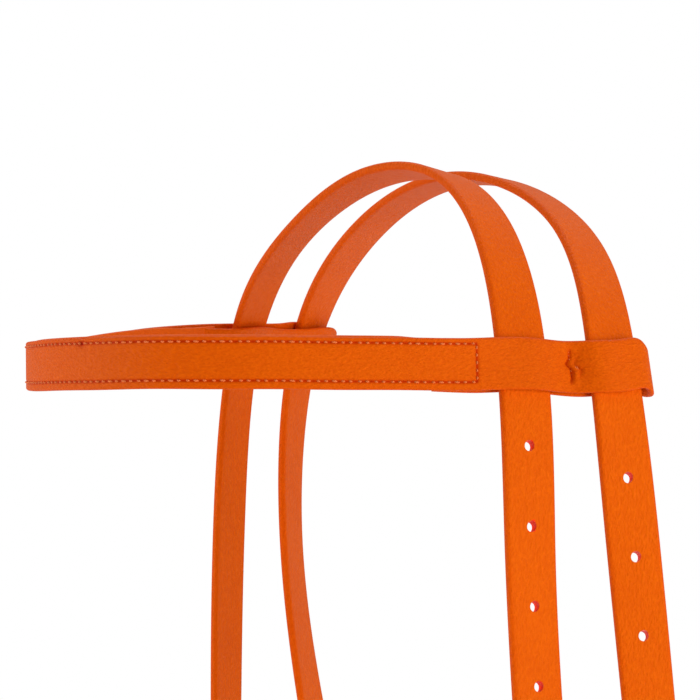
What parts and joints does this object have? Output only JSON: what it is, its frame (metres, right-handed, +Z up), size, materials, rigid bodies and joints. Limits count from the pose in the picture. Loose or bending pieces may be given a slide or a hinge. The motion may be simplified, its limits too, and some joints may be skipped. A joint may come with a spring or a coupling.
{
  "type": "bridle headstall",
  "caption": "Horse bridle headstall: a browband whose folded ends carry a crown strap and a throatlatch, with prong buckles, keepers and swivel bolt snaps for a bit.",
  "frame": {"origin": "underside of the crown strap on top of the poll, on the middle plane between the near and off sides", "axes": "+X to the horse's left (near) side, -Y forward to the browband, +Z up from the throat to the poll"},
  "size_m": [0.2191, 0.2126, 0.4909],
  "materials": {
    "strap_leather": "fine pebble grain, satin, smooth rounded edges",
    "lining": "smooth flesh side, matt",
    "thread": "twisted polyester thread",
    "stainless": "polished stainless steel",
    "spring_steel": "drawn spring wire"
  },
  "bodies": {
    "bridle": {"crown_cheek_strap": "strap_leather", "throatlatch_strap": "strap_leather", "near_cheek_strap": "strap_leather", "cheek_buckle_frame": "stainless", "cheek_fixed_keeper": "strap_leather", "cheek_buckle_stitching": "thread", "throat_buckle_frame": "stainless", "throat_fixed_keeper": "strap_leather", "throat_buckle_stitching": "thread", "near_cheek_stitching": "thread", "off_cheek_stitching": "thread"},
    "browband": {"browband_strap": "strap_leather", "browband_lining": "lining", "browband_stitching": "thread", "near_bar_tack": "thread", "off_bar_tack": "thread"},
    "cheek_prong": {"cheek_buckle_prong": "stainless"},
    "throat_prong": {"throat_buckle_prong": "stainless"},
    "cheek_keeper": {"cheek_sliding_keeper": "strap_leather"},
    "throat_keeper": {"throat_sliding_keeper": "strap_leather"},
    "near_eye": {"near_snap_eye": "stainless"},
    "near_hook": {"near_snap_hook": "stainless", "near_snap_spring": "spring_steel"},
    "near_bolt": {"near_snap_bolt": "stainless"},
    "off_eye": {"off_snap_eye": "stainless"},
    "off_hook": {"off_snap_hook": "stainless", "off_snap_spring": "spring_steel"},
    "off_bolt": {"off_snap_bolt": "stainless"}
  },
  "joints": [
    {"name": "browband_slide", "type": "slide", "parent": "bridle", "child": "browband", "axis": [0, 0, 1], "range_m": [-0.0004, 0.0008]},
    {"name": "cheek_prong_turn", "type": "hinge", "parent": "bridle", "child": "cheek_prong", "pos_m": [0.08172, -0.01072, -0.2536], "axis": [0.1478, 0.989, 0], "range_deg": [0, 10]},
    {"name": "throat_prong_turn", "type": "hinge", "parent": "bridle", "child": "throat_prong", "pos_m": [0.09275, 0.02911, -0.2651], "axis": [0.2419, 0.9703, 0], "range_deg": [0, 10]},
    {"name": "cheek_keeper_slide", "type": "slide", "parent": "bridle", "child": "cheek_keeper", "axis": [0, 0, 1], "range_m": [-0.009, 0.0065]},
    {"name": "throat_keeper_slide", "type": "slide", "parent": "bridle", "child": "throat_keeper", "axis": [0, 0, 1], "range_m": [-0.009, 0.0065]},
    {"name": "near_snap_swing", "type": "hinge", "parent": "bridle", "child": "near_eye", "pos_m": [0.08143, -0.01067, -0.405], "axis": [0.1478, 0.989, 0], "range_deg": [-30, 30]},
    {"name": "near_snap_swivel", "type": "hinge", "parent": "near_eye", "child": "near_hook", "pos_m": [0.08143, -0.01067, -0.43], "axis": [0, 0, 1], "continuous": true},
    {"name": "near_bolt_slide", "type": "slide", "parent": "near_hook", "child": "near_bolt", "axis": [0, 0, 1], "range_m": [0, 0.012], "stiffness_N_per_m": 250, "springref_m": -0.004, "deforming": ["near_snap_spring"]},
    {"name": "off_snap_swing", "type": "hinge", "parent": "bridle", "child": "off_eye", "pos_m": [-0.08223, -0.0259, -0.405], "axis": [-0.4509, 0.8926, 0], "range_deg": [-30, 30]},
    {"name": "off_snap_swivel", "type": "hinge", "parent": "off_eye", "child": "off_hook", "pos_m": [-0.08223, -0.0259, -0.43], "axis": [0, 0, 1], "continuous": true},
    {"name": "off_bolt_slide", "type": "slide", "parent": "off_hook", "child": "off_bolt", "axis": [0, 0, 1], "range_m": [0, 0.012], "stiffness_N_per_m": 250, "springref_m": -0.004, "deforming": ["off_snap_spring"]}
  ]
}
